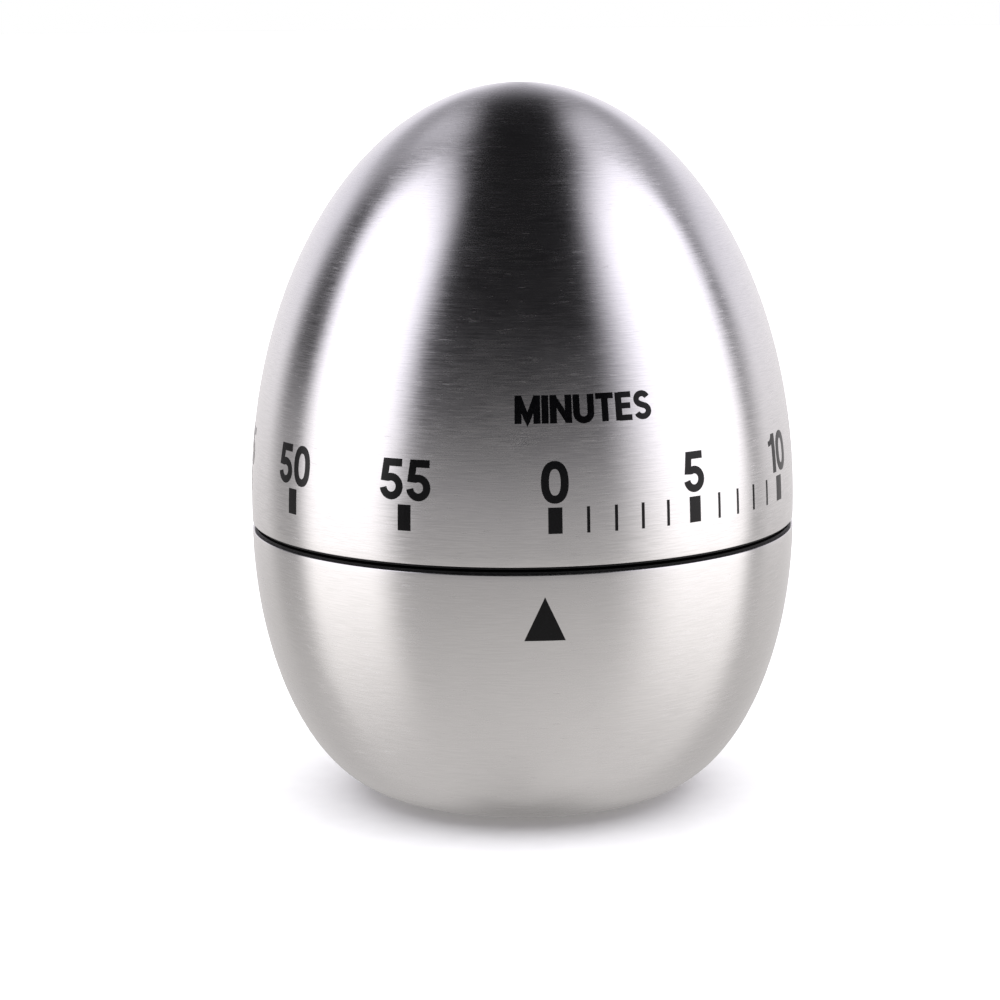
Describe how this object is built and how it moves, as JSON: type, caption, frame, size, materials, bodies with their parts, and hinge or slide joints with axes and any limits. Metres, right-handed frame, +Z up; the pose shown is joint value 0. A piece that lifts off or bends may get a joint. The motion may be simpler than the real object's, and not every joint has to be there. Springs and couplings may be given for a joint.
{
  "type": "kitchen timer",
  "caption": "Egg-shaped steel wind-up timer: the upper half turns against a pointer on the lower half and rings a bell inside.",
  "frame": {"origin": "middle of the pad's underside, on the turning axis", "axes": "+Z up along the turning axis, -Y through the pointer on the lower half"},
  "size_m": [0.06, 0.06, 0.0784],
  "materials": {
    "shell_steel": "fine brushing round the axis, bright",
    "black_plastic": "moulded black plastic, semi-matte",
    "pad_rubber": "matte black rubber",
    "plate_steel": "stamped zinc-plated steel",
    "screw_steel": "bright turned steel",
    "arbor_steel": "polished turned steel",
    "gear_brass": "stamped brass",
    "spring_steel": "blued spring steel",
    "bell_metal": "polished plated bell metal"
  },
  "bodies": {
    "base": {"lower_shell": "shell_steel", "base_liner": "black_plastic", "base_pad": "pad_rubber", "bottom_plate": "plate_steel", "top_plate": "plate_steel", "plate_pillars": "screw_steel", "pillar_screws": "screw_steel", "movement_screws": "screw_steel", "spindle_bush": "gear_brass", "bell": "bell_metal", "bell_post": "screw_steel", "bell_screw": "screw_steel", "lever_stud": "plate_steel", "lever_spring": "spring_steel"},
    "dial": {"upper_shell": "shell_steel", "dial_liner": "black_plastic", "dial_hub": "black_plastic", "hub_screws": "screw_steel", "spindle": "arbor_steel", "cam_disc": "plate_steel", "stop_pin": "screw_steel", "spindle_clip": "spring_steel", "great_wheel": "gear_brass", "clutch_spring": "spring_steel", "clutch_collar": "plate_steel"},
    "second_shaft": {"second_arbor": "arbor_steel", "second_pinion": "arbor_steel", "second_wheel": "gear_brass"},
    "third_shaft": {"third_arbor": "arbor_steel", "third_pinion": "arbor_steel", "third_wheel": "gear_brass"},
    "escape_shaft": {"escape_arbor": "arbor_steel", "escape_pinion": "arbor_steel", "escape_wheel": "gear_brass"},
    "balance_shaft": {"balance_arbor": "arbor_steel", "balance_wheel": "gear_brass", "pallet": "plate_steel"},
    "barrel": {"alarm_barrel": "gear_brass", "barrel_cover": "gear_brass", "mainspring": "spring_steel"},
    "star_shaft": {"star_arbor": "arbor_steel", "star_pinion": "arbor_steel", "star_wheel": "gear_brass"},
    "hammer": {"hammer_arbor": "arbor_steel", "hammer_pallet": "plate_steel", "hammer_arm": "plate_steel", "hammer_head": "arbor_steel"},
    "lever": {"release_lever": "plate_steel"}
  },
  "joints": [
    {"name": "dial_turn", "type": "hinge", "parent": "base", "child": "dial", "pos_m": [0, 0, 0.0305], "axis": [0, 0, -1], "range_deg": [0, 350]},
    {"name": "second_turn", "type": "hinge", "parent": "base", "child": "second_shaft", "pos_m": [0.01316, 0.00479, 0.0182], "axis": [0, 0, -1], "range_deg": [-3150, 0]},
    {"name": "third_turn", "type": "hinge", "parent": "base", "child": "third_shaft", "pos_m": [0.0097, 0.0131, 0.0182], "axis": [0, 0, -1], "range_deg": [0, 25200]},
    {"name": "escape_turn", "type": "hinge", "parent": "base", "child": "escape_shaft", "pos_m": [0.00363, 0.0166, 0.0182], "axis": [0, 0, -1], "range_deg": [-151200, 0]},
    {"name": "balance_swing", "type": "hinge", "parent": "base", "child": "balance_shaft", "pos_m": [-0.00236, 0.01683, 0.0182], "axis": [0, 0, -1], "range_deg": [-10, 10]},
    {"name": "barrel_turn", "type": "hinge", "parent": "base", "child": "barrel", "pos_m": [0, 0, 0.0182], "axis": [0, 0, -1], "range_deg": [0, 150]},
    {"name": "star_turn", "type": "hinge", "parent": "base", "child": "star_shaft", "pos_m": [-0.01423, -0.00124, 0.0182], "axis": [0, 0, -1], "range_deg": [-1125, 0]},
    {"name": "hammer_swing", "type": "hinge", "parent": "base", "child": "hammer", "pos_m": [-0.01819, -0.00702, 0.0182], "axis": [0, 0, -1], "range_deg": [0, 6], "stiffness_Nm_per_rad": 0.0005},
    {"name": "lever_swing", "type": "hinge", "parent": "base", "child": "lever", "pos_m": [0.01302, -0.01093, 0.0265], "axis": [0, 0, -1], "range_deg": [0, 8], "stiffness_Nm_per_rad": 0.0005}
  ],
  "couplings": [
    {"joint": "second_turn", "follows": "dial_turn", "ratio": -9},
    {"joint": "third_turn", "follows": "dial_turn", "ratio": 72},
    {"joint": "escape_turn", "follows": "dial_turn", "ratio": -432},
    {"joint": "star_turn", "follows": "barrel_turn", "ratio": -7.5}
  ]
}
